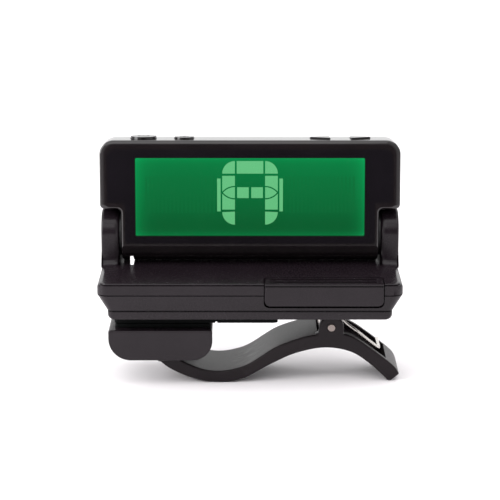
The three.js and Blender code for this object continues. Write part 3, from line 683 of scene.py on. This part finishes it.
def lower_housing():
    """The tapered lower shell. A gutter behind the door's sill keeps the gap below the door dark."""
    def outline(z, margin):
        share = (SEAM - z) / (SEAM - LOWER_LOW.z)
        return base_plan(TAPER_SIDE * share + margin, TAPER_END * share + margin)

    low, high, rear = LOWER_LOW.z, LOWER_HIGH.z, SHELL_HIGH.y
    shell = stack("z", [(outline(z, 0), z) for z in (low, high)])
    gutter_x = (TRAY_LOW.x + 1, TRAY_HIGH.x - 1)
    cut(
        shell,
        stack("z", [(outline(z, WALL), z) for z in (low + 1, SEAM + 0.2)]),
        prism("y", door_outline(DOOR_GAP, 0.72), FRONT - 1, DOOR_BACK),
        block((SLOT[0] - 1, SLOT[1]), (rear - 2.5, rear + 1), (SEAM - 0.6, SEAM + 1)),
        block(gutter_x, (FRONT + 1.45, DOOR_BACK), (low + 0.35, DOOR_BOTTOM)),
    )
    soften(shell, EDGE)
    cut(shell, outside(outline(low, SEAM_INSET), low - 1, low + 0.12))
    put(shell, "lower_housing", "base", CASE, ["base_lower_shell"])


def underside_plate():
    """The bottom plate with round edges, the two lugs of the clip's pivot and the screws' recesses."""
    bottom, top = UPPER_PAD_HIGH.z + GAP, PLATE_HIGH.z
    rings = [*quarter(1.1, 1.1, 6), (0, top - bottom)]
    slab = stack("z", [
        (base_plan(TAPER_SIDE + draw, TAPER_END + 0.4 * draw), bottom + rise) for draw, rise in rings])
    radius, inner, outer = 2.3, 3.8, 5.2
    radii = (radius - 0.01, radius - 0.01, 0, 0)
    lug = four_sided(PIVOT.x - radius, PLATE_LOW.z, PIVOT.x + radius, bottom + 0.5, radii, 12)
    plate = joined(slab, prism("y", lug, -outer, -inner, 0.15), prism("y", lug, inner, outer, 0.15))
    recesses = []
    for screw_low, screw_high in BASE_SCREWS:
        middle = (screw_low + screw_high) / 2
        recesses.append(rod("z", middle.x, middle.y, SCREW_HEAD, bottom - 1, bottom + 0.7))
    cut(plate, rod("y", PIVOT.x, PIVOT.z, 0.85, -7, 7), *recesses)
    soften(plate, 0.1, 2)
    cut(plate, outside(base_plan(TAPER_SIDE + SEAM_INSET, TAPER_END + SEAM_INSET), top - 0.16, top + 1))
    put(plate, "underside_plate", "base", CASE, ["bottom_plate"])


def battery_drawer():
    """The door, its ledge on the deck with the finger grips, and the tray with the cell's well."""
    face = TRAY_LOW.y
    door = prism("y", door_outline(0, 0), face, FRONT + WALL - 0.1, edges=((0.12, 0.12), (0, 0)))
    cut(door, block((0, FAR), (-FAR, 0), (DECK, FAR)))
    ledge_plan = rectangle(TRAY_LOW.x, face, TRAY_HIGH.x, FRONT + LEDGE_DEPTH, 0.8)
    ledge = prism("z", ledge_plan, DECK - LIP, DECK, edges=((0, 0), (0.28, 0.28)))
    tray = block((TRAY_LOW.x + 0.9, TRAY_HIGH.x - 0.9), (FRONT + 1, TRAY_HIGH.y), (DOOR_BOTTOM, 21.5))
    cell_low, cell_high = measure("coin_cell")
    x, y, _ = (cell_low + cell_high) / 2
    radius = (cell_high.x - cell_low.x) / 2
    grips = []
    for depth in (1.0, 2.9):
        plan = rectangle(TRAY_LOW.x + 1, FRONT + depth, TRAY_HIGH.x - 1, FRONT + depth + 1.0, 0.49)
        grips.append(prism("z", plan, DECK - 0.45, DECK + 1))
    across = (TRAY_LOW.x - 1, TRAY_HIGH.x + 1)
    rim_groove = block(across, (face - 1, face + 0.4), (DECK - 0.62, DECK - 0.34))
    cut(
        joined(door, ledge, tray),
        rod("z", x, y, radius + 0.15, cell_low.z - GAP, DECK - LIP - 0.01, sides=72),
        block((x - 3, x + 3), (-4, 12), (cell_low.z - 2, cell_low.z + 1)),
        *grips,
        rim_groove,
    )
    soften(door, 0.2)
    put(door, "battery_drawer", "drawer", CASE, ["battery_tray"])


# ------ head
def head_outline(half, top, notch_half, notch_top, bottom, radii):
    """A wide block with a narrower chin below it. The radii are those of the upper corners, of the corners
    beside the notches, of the notches' inner corners and of the chin's corners."""
    corner, shoulder, inner, foot = radii
    return rounded([
        (-notch_half, bottom, foot), (notch_half, bottom, foot),
        (notch_half, notch_top, inner), (half, notch_top, shoulder),
        (half, top, corner), (-half, top, corner),
        (-half, notch_top, shoulder), (-notch_half, notch_top, inner),
    ], 10)


def head_ring(draw):
    """The head's outline drawn in by a distance all round, and by less along the notches."""
    little = 0.3 * draw
    radii = (3.0 - draw, 1.0 - little, 0.9 + little, 0.95 - little)
    return head_outline(
        HEAD_HIGH.x - draw, HEAD_HIGH.z - draw, NOTCH_HALF - little, NOTCH_TOP + little, little - CHIN, radii)


def head_block():
    """The head's whole outside: its front rim rounded more broadly than its back, its chin rounded about
    the hinge, and the slot cut into the chin."""
    rings = [(head_ring(draw), BEZEL_LOW.y + rise) for draw, rise in quarter(1.5, 0.5, 18)]
    rings += [(head_ring(draw), HEAD_HIGH.y - rise) for draw, rise in quarter(0.7, 0.7, 6)[::-1]]
    start = math.degrees(math.asin(BEZEL_LOW.y / CHIN)) - 90
    end = math.degrees(math.asin(HEAD_HIGH.y / CHIN)) - 90
    side = arc(0, 0, CHIN, start, end, 28) + polygon([(HEAD_HIGH.y, 25), (BEZEL_LOW.y, 25)])
    solid = common(stack("y", rings), prism("x", side, -FAR, FAR))
    return cut(solid, prism("z", flared(-3.7, 3.7, 0.5, 0.05), -7, -4.7))


def window_outline(margin):
    """The dark window: as wide as the head above, and as the chin below."""
    return head_outline(
        PANE_HIGH.x + margin, PANE_HIGH.z + margin, 26.3 + margin, 6.9 - margin, PANE_LOW.z - margin,
        (1.7, 0.5, 0.5, 0.6))


def display_outline(margin):
    side = DISPLAY_HALF + margin
    return rectangle(-side, DISPLAY_LOW - margin, side, DISPLAY_HIGH + margin, 0.3)


def head_bezel():
    """The front case: the thin front of the head, opened for the window and the display."""
    case = cut(head_block(), block((-FAR, FAR), (BEZEL_SPLIT, FAR), (-FAR, FAR)))
    soften(case, 0.06)
    cut(
        case,
        prism("y", window_outline(GAP), BEZEL_LOW.y - 1, PANE_HIGH.y + GAP),
        prism("y", display_outline(0), BEZEL_LOW.y - 1, BEZEL_SPLIT + 1),
    )
    nodes = ["head_front_case"]
    put(case, "head_bezel", "head", CASE_SMOOTH, nodes, HEAD, crease=21)


def button_outline(shape, margin=0.0):
    """A disc, or a triangle that points to one side."""
    x = shape["x"]
    if "radius" in shape:
        return circle(x, BUTTON_Y, shape["radius"] + margin, 64)
    way, half = shape["way"], ARROW_HALF + 1.7 * margin
    tip, back = x + (2.9 + 2 * margin) * way, x - (1.7 + margin) * way
    corners = [(tip, BUTTON_Y, 0.3), (back, BUTTON_Y + half, 0.3), (back, BUTTON_Y - half, 0.3)]
    return rounded(corners if way > 0 else corners[::-1], 6)


def head_back_cover():
    """The rear case, hollowed, and cut for the buttons, the hinge's pins and the screws."""
    split = HEAD_LOW.y
    cover = cut(head_block(), block((-FAR, FAR), (-FAR, split), (-FAR, FAR)))
    top, back = HEAD_HIGH.z - WALL, HEAD_HIGH.y - 1.1
    hollows = [
        block((-HEAD_HIGH.x + WALL, HEAD_HIGH.x - WALL), (split - 1, back), (NOTCH_TOP + WALL, top)),
        block((-25.6, 25.6), (split - 1, -1.9), (-1.6, top)),
        block((-24.2, 24.2), (-2.5, back), (-4.2, top)),
    ]
    holes = [
        prism("z", button_outline(shape, 0.1), top - 0.5, HEAD_HIGH.z + 1) for shape in BUTTONS.values()]
    bores = [rod("x", 0, 0, 1.3, low, low + 6) for low in (-30, 24)]
    recesses = []
    for i in range(1, 5):
        low, high = measure(f"head_screw_{i}", TO_HEAD)
        middle = (low + high) / 2
        recesses.append(rod("y", middle.x, middle.z, SCREW_HEAD, HEAD_HIGH.y - 0.7, HEAD_HIGH.y + 1))
    cut(cover, *hollows, *holes, *bores, *recesses)
    soften(cover, 0.1)
    put(cover, "head_back_cover", "head", CASE_SMOOTH, ["head_rear_case"], HEAD)


def display():
    """A black border and a clear pane in the window, and the display behind them."""
    front, back = WINDOW_FACE, PANE_HIGH.y
    border = prism("y", window_outline(0), front, back, edges=((0.03, 0.03), (0, 0)))
    cut(border, prism("y", display_outline(0), front - 1, back + 1))
    put(border, "window_border", "head", GLOSS, ["display_window"], HEAD)
    pane = prism("y", display_outline(-0.01), front, back)
    put(pane, "window_pane", "head", PANE, ["display_window"], HEAD)
    glass = rectangle(LCD_LOW.x, LCD_LOW.z, LCD_HIGH.x, LCD_HIGH.z, 0.3)
    panel = prism("y", glass, LCD_LOW.y, LCD_HIGH.y)
    put(panel, "lcd_glass", "head", LCD, ["lcd_panel"], HEAD)


def mirror_x(outline):
    return [Vector((-point.x, point.y)) for point in outline][::-1]


def note_outlines():
    """The lit segments of the note letter, drawn on the display's centre line: the right half's, the same
    mirrored, and the bar on top."""
    outer, inner, bar = 5.85, 3.19, 2.79
    top, bottom = 15.6, 2.1
    head_line, upper_end, lower_end, foot_line = 12.95, 12.47, 5.31, 4.88
    middle_high, middle_low = 10.05, 7.76
    centre = (middle_high + middle_low) / 2
    line = 0.27
    corner = outer - inner
    bend, rise = 3.37, 1.3
    outside_bend, nose_bend = bend + line / 2, bend - line / 2

    def bow(radius, x, way):
        """A point of the curve that runs beside the nose."""
        return Vector((x, centre + way * (math.sqrt(radius ** 2 - (x - inner) ** 2) - bend + rise)))

    def even(end):
        return [inner + (end - inner) * i / 10 for i in range(11)]

    upper = [bow(outside_bend, x, 1) for x in even(outer)]
    upper += polygon([(outer, upper_end), (inner, upper_end)])
    lower = polygon([(inner, lower_end), (outer, lower_end)])
    lower += [bow(outside_bend, x, -1) for x in even(outer)[::-1]]
    places = even(inner + math.sqrt(nose_bend ** 2 - (bend - rise) ** 2))
    nose = [bow(nose_bend, x, -1) for x in places]
    nose += [bow(nose_bend, x, 1) for x in places[-2::-1]]
    head = polygon([(inner, head_line), (outer, head_line)])
    head += arc(inner, top - corner, corner, 0, 90, 12)[1:]
    foot = polygon([(inner, foot_line), (inner, bottom)])
    foot += arc(inner, bottom + corner, corner, -90, 0, 12)[1:]
    stroke = rectangle(6.2, 4.93, 6.93, 11.9)
    middle = rectangle(line, middle_low, bar - 0.08, middle_high)
    right = [head, upper, nose, lower, foot, stroke, middle]
    return right + [mirror_x(outline) for outline in right] + [rectangle(-bar, head_line, bar, top)]


def merge(solids):
    """Several separate solids as one object."""
    build = bmesh.new()
    for solid in solids:
        build.from_mesh(solid.data)
        bpy.data.objects.remove(solid)
    return finish_mesh(build)


def segments():
    """The lit note letter, and the unlit bars of the strobe on both sides of it."""
    face = LCD_LOW.y
    lit = merge([prism("y", outline, face - 0.03, face + 0.02) for outline in note_outlines()])
    put(lit, "lcd_note_letter", "head", GLYPH, (), HEAD)
    half, first, pitch = 0.21, 7.6, 0.84
    bars = []
    for side in (-1, 1):
        for i in range(18):
            x = side * (first + pitch * i)
            bars.append(prism("y", rectangle(x - half, 4.6, x + half, 12.4), face - 0.02, face + 0.02))
    put(merge(bars), "lcd_strobe_bars", "head", GHOST, (), HEAD)


def power_icon(x, y, size):
    """A broken ring with a bar through its gap."""
    ring = arc(x, y, size, -240, 60, 30) + arc(x, y, size - 0.22, 60, -240, 30)
    return [ring, rectangle(x - 0.11, y + 0.1, x + 0.11, y + size + 0.3)]


def mode_icon(x, y, size):
    """A plain ring round a dot."""
    halves = []
    for start in (10, 190):
        end = start + 160
        halves.append(arc(x, y, size, start, end, 16) + arc(x, y, size - 0.2, end, start, 16))
    return [*halves, circle(x, y, 0.28, 16)]


ICONS = {"power": (power_icon, 1.25), "mode": (mode_icon, 0.95)}


def buttons():
    """Each button is a cap with a neck through the case, a flange under it and a stem down to its switch."""
    wall = HEAD_HIGH.z - WALL
    for name, shape in BUTTONS.items():
        half = shape.get("radius", ARROW_HALF) + 0.4
        crown = HEAD_HIGH.z + shape["proud"]
        x = shape["x"]
        neck_radius = 1.5 if "radius" in shape else 0.9
        depth = (max(BUTTON_Y - half, -3.5), 1.85)
        cap = prism("z", button_outline(shape), wall + 0.45, crown, edges=((0, 0), (0.12, 0.12)))
        neck = rod("z", x, BUTTON_Y, neck_radius, wall - 0.1, wall + 0.6)
        flange = block((x - half, x + half), depth, (wall - 0.5, wall - GAP))
        stem = block((x - 0.7, x + 0.7), (-0.3, 0.8), (17.8, wall - 0.3))
        body = f"{name}_button"
        put(joined(cap, neck, flange, stem), f"{name}_cap", body, BUTTON, [body], HEAD)
        if name not in ICONS:
            continue
        draw, size = ICONS[name]
        marks = [prism("z", outline, crown - 0.05, crown + 0.02) for outline in draw(x, BUTTON_Y, size)]
        put(merge(marks), f"{name}_icon", body, PRINT, (), HEAD)


# ------ clip
def lever_curves():
    """The lever's side view: its underside with the thumb end, and its upper side back to the tip."""
    under = spline([
        (-19.6, 5.4), (-16.7, 3.0), (-11.5, 0.75), (-6.3, 0.0), (-1.5, 0.8), (4.2, 3.9), (9.5, 6.3),
        (15.6, 7.4), (21.0, 6.4), (25.1, 3.7), (28.9, 0.1),
    ], 7)
    over = spline([
        (31.3, 1.4), (30.3, 3.1), (26.8, 6.0), (22.0, 9.4), (18.5, 10.5), (13.5, 10.25), (9.8, 9.4),
        (5.2, 7.6), (0, 4.2), (-3.1, 3.0), (-6.3, 2.5), (-9.4, 2.8), (-12.5, 3.9), (-15.6, 5.6),
    ], 6)
    thumb = polygon([(29.3, 0.0), (29.6, 0.05), (29.9, 0.24), (31.0, 1.2)])
    return under + thumb, over


def lever_side():
    """The side view with the ear round the pivot pin, run into the upper side with a fillet."""
    under, over = lever_curves()
    right = [point for point in over if point.x > 20.1]
    left = [point for point in over if point.x < 12.9]
    top = PIVOT.z + 2.6
    ear_path = rounded([
        (right[-1].x, right[-1].y, 0), (19.6, 10.3, 0.25), (19.6, top, 2.59), (14.4, top, 2.59),
        (14.4, 10.35, 1.1), (left[0].x, left[0].y, 0),
    ], 12)
    return under + right[:-1] + ear_path + left[1:]


def narrow(solid):
    """Draws the lever in from its full width along the jaw to the thumb tab's width."""
    start, length, full, tab = 7, 17, 7.4, 6.2
    for vertex in solid.data.vertices:
        share = min(max((vertex.co.x - start) / length, 0), 1)
        vertex.co.y *= 1 - share * (1 - tab / full)
    return solid


def thumb_corner(way):
    """What is cut off the thumb tab's end to leave a round corner, seen from above."""
    x, y = 30.6, 5.5
    curve = arc(x, y, 0.7, 0, 90, 10) + polygon([(x, y + 1.5), (x + 2.4, y + 1.5), (x + 2.4, y)])
    plan = [Vector((point.x, point.y * way)) for point in curve]
    return prism("z", plan if way < 0 else plan[::-1], -1, 8)


def clip_lever():
    """The lever's middle between two cheeks with ears, and a pocket for the spring's arm."""
    half, inner = LEVER_HIGH.y, 5.3
    under, over = lever_curves()
    cheeks = [
        narrow(prism("y", lever_side(), -half, -inner, edges=((0.4, 0.4), (0, 0)))),
        narrow(prism("y", lever_side(), inner, half, edges=((0, 0), (0.4, 0.4)))),
    ]
    middle = prism("y", under + over, -inner - 0.01, inner + 0.01)
    knuckle = rod("y", SHOE_PIN.x, SHOE_PIN.z, 1.9, -half + 0.02, half - 0.02, 0.3)
    neck_side = polygon([(-20.1, 7.0), (-19.2, 4.6), (-15.6, 4.2), (-16.7, 7.8)])
    neck = prism("y", neck_side, -half + 0.03, half - 0.03, 0.3)
    pocket = polygon([
        (18.0, 9.4), (19.0, 8.6), (21.9, 7.7), (25.2, 5.3), (27.3, 3.2), (28.6, 4.6), (28.6, 13), (18.0, 13),
    ])
    lever = joined(narrow(middle), *cheeks, knuckle, neck)
    cut(
        lever,
        rod("y", PIVOT.x, PIVOT.z, 3.3, -inner, inner),
        prism("y", pocket, -5, 5),
        rod("y", PIVOT.x, PIVOT.z, 0.9, -10, 10),
        rod("y", SHOE_PIN.x, SHOE_PIN.z, 0.85, -10, 10),
        thumb_corner(-1),
        thumb_corner(1),
    )
    soften(lever, 0.15)
    put(lever, "lever_arm", "lever", LEVER_PLASTIC, ["clip_lever"])


def jaw_shoe():
    """A saddle of two cheeks with round lower corners, with a dimple for the axle inside each."""
    low, high = SHOE_LOW, SHOE_HIGH
    wall, web, pin = 1.4, 0.6, SHOE_PIN
    outline = four_sided(low.x, low.z, high.x, high.z, (4.6, 4.2, 0.4, 0.4), 14)
    shoe = prism("y", outline, low.y, high.y, 0.35, steps=5)
    inside = block((low.x - 1, high.x + 1), (low.y + wall, high.y - wall), (low.z - 1, high.z - 1.3))
    starts = (low.y + web, high.y - web - wall)
    cut(shoe, inside, *[rod("y", pin.x, pin.z, 0.9, start, start + wall) for start in starts])
    soften(shoe, 0.15)
    put(shoe, "jaw_shoe_cup", "shoe", CASE, ["jaw_shoe"])


def pad(low, high, edges):
    return prism("z", rectangle(low.x, low.y, high.x, high.y, 0.8), low.z, high.z, edges=edges)


def jaw_pads():
    """The upper pad has a groove across it; the lower one is plain, with a rounder upper edge."""
    upper = pad(UPPER_PAD_LOW, UPPER_PAD_HIGH, ((0.12, 0.12), (0, 0)))
    bottom = UPPER_PAD_LOW.z
    cut(upper, block((-7.2, -6.8), (-10, 10), (bottom - 1, bottom + 0.3)))
    soften(upper, 0.06, 2)
    put(upper, "upper_pad", "base", RUBBER, ["upper_jaw_pad"])
    lower = pad(*measure("lower_jaw_pad"), ((0, 0), (0.25, 0.25)))
    put(lower, "lower_pad", "shoe", RUBBER, ["lower_jaw_pad"])


def coil_points(turns, radius, half):
    """The coil round the pivot, from where the lever's arm leaves it to where the base's arm does."""
    start, end = math.radians(60), math.radians(76) + 2 * math.pi * turns
    count = turns * 28
    points = []
    for i in range(count + 1):
        share = i / count
        angle = start + (end - start) * share
        across = -half + 2 * half * share
        points.append((PIVOT.x + radius * math.cos(angle), across, PIVOT.z + radius * math.sin(angle)))
    return points


def spring():
    """The torsion spring in three lengths: its coil turns between the lever and the base, and each arm
    stays with the part that it presses."""
    half, wire = 3.0, 0.4
    coil = coil_points(5, 2.3, half)
    lever_arm = tube(spline([
        (27.1, 4.0, 6.2), (27.1, 1.0, 6.2), (27.1, -2.1, 6.2), (26.7, -2.8, 6.5), (24.9, -3.0, 7.9),
        (22.6, -3.0, 9.8), (20.6, -3.0, 11.3), coil[0],
    ], 6), wire)
    base_arm = tube(spline([
        coil[-1], (15.6, 3.0, 13.75), (13.6, 3.0, 14.0), (12.6, 2.9, 14.1), (12.2, 2.3, 14.15),
        (12.2, 0.6, 14.15), (12.2, -1.4, 14.15),
    ], 6), wire)
    put(lever_arm, "spring_lever_arm", "lever", SPRING_STEEL)
    put(base_arm, "spring_base_arm", "base", SPRING_STEEL, ["clip_spring"])
    winding = tube(coil, wire)
    winding.name = "spring_coil"
    winding.data.transform(Matrix.Scale(MM, 4))
    shade_smooth(winding.data)
    winding.data.materials.append(SPRING_STEEL)
    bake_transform(winding)


def axles():
    """The clip's two axles, and the right hinge pin with its round head."""
    across = [("pivot_axle", "base", "pivot_pin", PIVOT), ("shoe_axle", "lever", "shoe_pin", SHOE_PIN)]
    for name, body, node, place in across:
        low, high = measure(node)
        pin = rod("y", place.x, place.z, 0.8, low.y, high.y, 0.12)
        put(pin, name, body, PIN_STEEL, [node])
    low, high = measure("right_hinge_pin")
    cap = prism("x", circle(HINGE.y, HINGE.z, 1.9), high.x - 0.5, high.x, edges=((0, 0), (0.25, 0.25)))
    pin = joined(rod("x", HINGE.y, HINGE.z, 1.2, low.x, high.x - 0.1, 0.1), cap)
    put(pin, "hinge_axle", "base", PIN_STEEL, ["right_hinge_pin"])


def screw(name, axis, node, body, local):
    """A pan head with a cross recess on a plain shank. The head is at the low end on the base, and at the
    high end on the head."""
    low, high = measure(node, local.inverted())
    at = "xyz".index(axis)
    u, v = [(low[i] + high[i]) / 2 for i in range(3) if i != at]
    crown, tip, way = (low[at], high[at], 1) if axis == "z" else (high[at], low[at], -1)
    span = sorted((crown, crown + 0.6 * way))
    edges = ((0.3, 0.25), (0, 0)) if way > 0 else ((0, 0), (0.3, 0.25))
    head = prism(axis, circle(u, v, 1.0), *span, edges=edges)
    shank = rod(axis, u, v, 0.5, *sorted((crown + 0.3 * way, tip)), sides=24)
    solid = joined(head, shank)
    recess = sorted((crown - 0.1 * way, crown + 0.3 * way))
    for a, b in ((0.62, 0.14), (0.14, 0.62)):
        cut(solid, prism(axis, rectangle(u - a, v - b, u + a, v + b), *recess))
    put(solid, name, body, SCREW_STEEL, [node], local)


def screws():
    for i in range(1, 5):
        screw(f"base_fastener_{i}", "z", f"base_screw_{i}", "base", Matrix.Identity(4))
        screw(f"head_fastener_{i}", "y", f"head_screw_{i}", "head", HEAD)


CARRIED = [
    (CELL_STEEL, ["coin_cell"]),
    (CONTACT_STEEL, ["negative_battery_contact", "positive_battery_contact"]),
    (BRASS, ["piezo_pickup_disc"]),
    (BOARD, ["base_circuit_board", "head_circuit_board"]),
    (CHIP, ["pickup_amplifier_chip", "tuner_processor_chip"]),
    (CHIP, ["power_switch", "mode_switch", "left_arrow_switch", "right_arrow_switch"]),
    (PIN_STEEL, ["left_hinge_bush"]),
    (WASHER, ["left_friction_washer", "right_friction_washer"]),
    (CABLE, ["signal_cable_base_run", "signal_cable_head_run"]),
    (DIFFUSER, ["backlight_panel"]),
    (ZEBRA, ["contact_strip"]),
]


def carried_nodes():
    """The CAD nodes that keep their own shape get smooth shading and their material."""
    for material, names in CARRIED:
        for name in names:
            mesh = frame["nodes"][name].data
            shade_smooth(mesh)
            mesh.materials.clear()
            mesh.materials.append(material)


# ------ stage, lights and camera
def look_at(thing, place, target):
    thing.location = place
    thing.rotation_mode = "QUATERNION"
    thing.rotation_quaternion = (Vector(target) - Vector(place)).to_track_quat("-Z", "Y")


def camera():
    """A long lens a little above the deck, aimed at the front of the base."""
    distance, elevation = 0.4, math.radians(14.5)
    data = bpy.data.cameras.new("camera")
    data.sensor_width = 36
    data.lens = 141.6
    data.clip_start = 0.01
    data.clip_end = 20
    made = to_object(data)
    target = Vector((0, FRONT * MM, 0.030))
    place = target + distance * Vector((0, -math.cos(elevation), math.sin(elevation)))
    look_at(made, place, target)
    bpy.context.scene.camera = made


def softbox(name, place, target, size, power):
    data = bpy.data.lights.new(name, "AREA")
    data.shape = "RECTANGLE"
    data.size, data.size_y = size
    data.energy = power
    look_at(to_object(data), place, target)


def floor():
    """A pale table top that ends a little in front of the tuner."""
    side, front, back, corner = 900, -300, 900, 60
    made = prism("z", rectangle(-side, front, side, back, corner), -20, 0)
    made.data.transform(Matrix.Scale(MM, 4))
    made.name = "floor"
    material, tree, shader = new_material("floor_white")
    cloud = spread(tree, noise(tree, 3, 2))
    tone = blend_colours(tree, cloud, (0.87, 0.84, 0.86), (0.89, 0.86, 0.88))
    fill(tree, shader, {"Base Color": tone, "Roughness": 0.6})
    made.data.materials.append(material)


def world():
    """White all round but for a dark patch in front, as in a small product studio. The camera sees plain
    white behind the table."""
    made = bpy.data.worlds.new("studio")
    bpy.context.scene.world = made
    made.use_nodes = True
    tree = made.node_tree
    axes = add_node(tree, "SeparateXYZ", {"Vector": coordinates(tree, "Generated")}).outputs
    ramp = add_node(tree, "ValToRGB", {"Fac": remap(tree, axes["Y"], -1, 1, 0, 1)})
    ramp.color_ramp.interpolation = "EASE"
    stops = [(0.01, 0.03), (0.07, 0.6), (0.85, 0.6), (0.97, 1.0)]
    for place, _ in stops[2:]:
        ramp.color_ramp.elements.new(place)
    for element, (place, level) in zip(ramp.color_ramp.elements, stops):
        element.position = place
        element.color = (level, level, level, 1)
    bright = calculate(tree, "MULTIPLY", ramp.outputs["Color"], 1.3)
    seen = add_node(tree, "LightPath", {}).outputs["Is Camera Ray"]
    strength = calculate(tree, "MAXIMUM", seen, bright)
    fill(tree, tree.nodes["Background"], {"Strength": strength, "Color": (1, 1, 1)})


def studio():
    bpy.context.scene.view_settings.view_transform = "Standard"
    world()
    floor()
    softbox("top_softbox", (0, 0.05, 0.8), (0, 0, 0.02), (1.4, 1.4), 8.6)
    softbox("left_softbox", (-0.6, -0.2, 0.3), (0, 0, 0.03), (0.4, 0.5), 4.6)
    softbox("front_softbox", (-0.15, -0.6, 0.5), (0, 0, 0.03), (0.5, 0.3), 0.7)
    softbox("right_softbox", (0.6, -0.1, 0.3), (0, 0, 0.03), (0.4, 0.5), 0.5)


camera()
studio()
upper_housing()
lower_housing()
underside_plate()
battery_drawer()
head_bezel()
head_back_cover()
display()
segments()
buttons()
clip_lever()
jaw_shoe()
jaw_pads()
spring()
axles()
screws()
carried_nodes()
